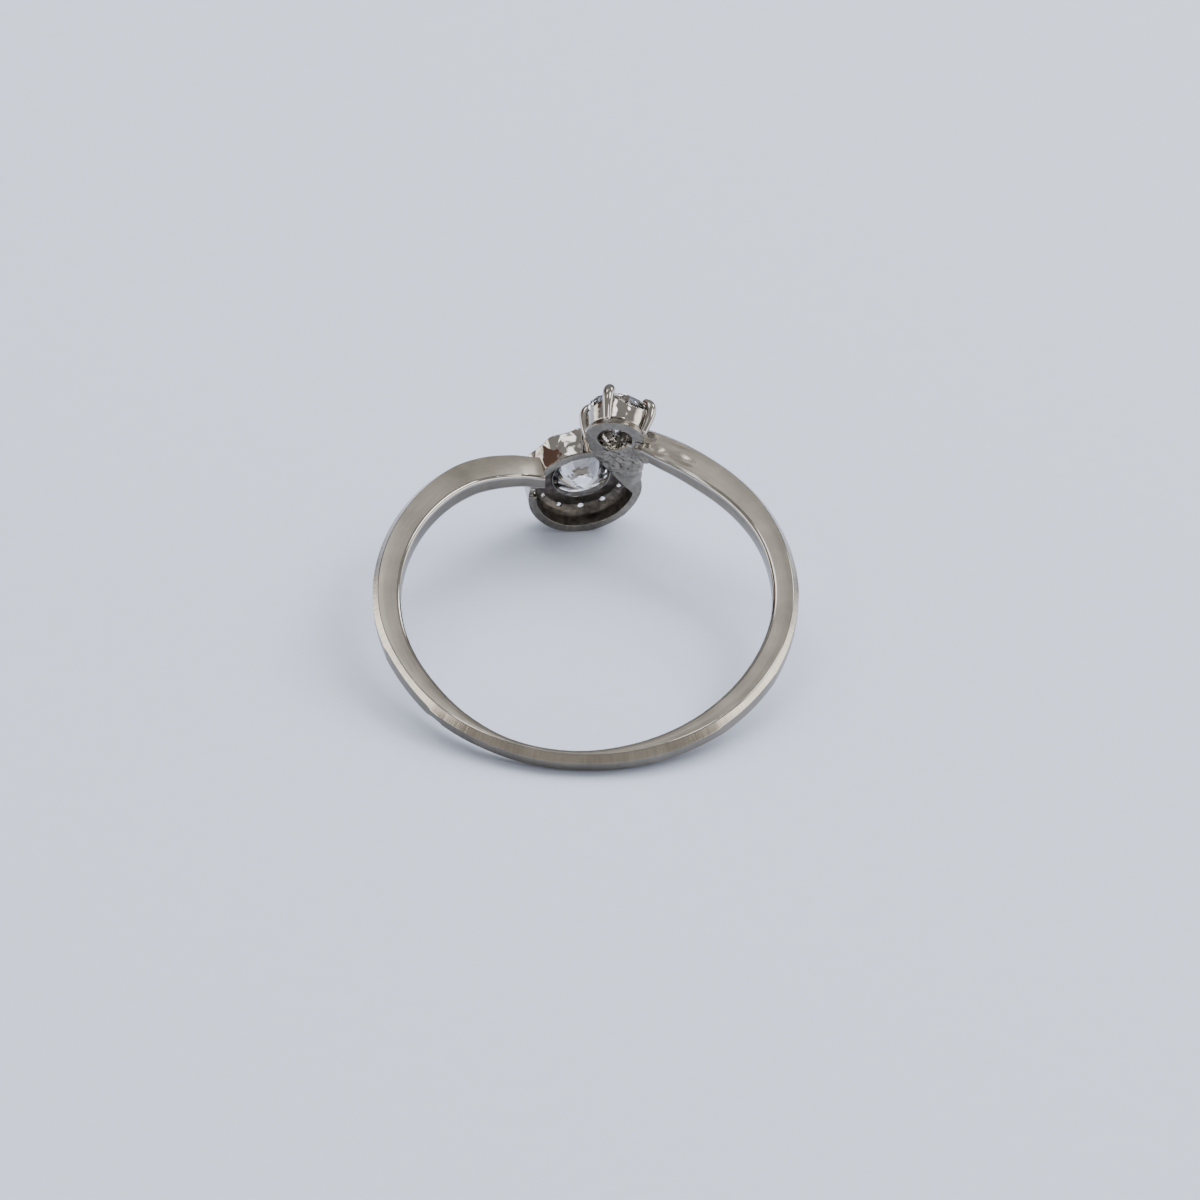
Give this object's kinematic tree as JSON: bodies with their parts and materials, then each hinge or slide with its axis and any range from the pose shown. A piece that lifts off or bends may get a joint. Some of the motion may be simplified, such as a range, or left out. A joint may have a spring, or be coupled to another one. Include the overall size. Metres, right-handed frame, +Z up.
{
  "type": "bypass ring",
  "caption": "Finger ring with a narrow shank whose passing arms end in a round hollow-backed stone cluster and a small claw-set single stone.",
  "frame": {"origin": "centre of the ring's box, on the surface that it rests on", "axes": "+Z up from the surface, +Y from the back of the shank towards the heads, X across the finger hole"},
  "size_m": [0.0192, 0.0206, 0.0086],
  "materials": {
    "white_gold": "polished, with satin side faces and a cross-brushed outer strip",
    "stone": "cut and polished, colourless"
  },
  "bodies": {
    "root": {"ring_metal": "white_gold", "centre_stone": "stone", "solitaire_stone": "stone", "halo_stone_01": "stone", "halo_stone_02": "stone", "halo_stone_03": "stone", "halo_stone_04": "stone", "halo_stone_05": "stone", "halo_stone_06": "stone", "halo_stone_07": "stone", "halo_stone_08": "stone", "halo_stone_09": "stone", "halo_stone_10": "stone", "halo_stone_11": "stone", "halo_stone_12": "stone"}
  },
  "joints": []
}
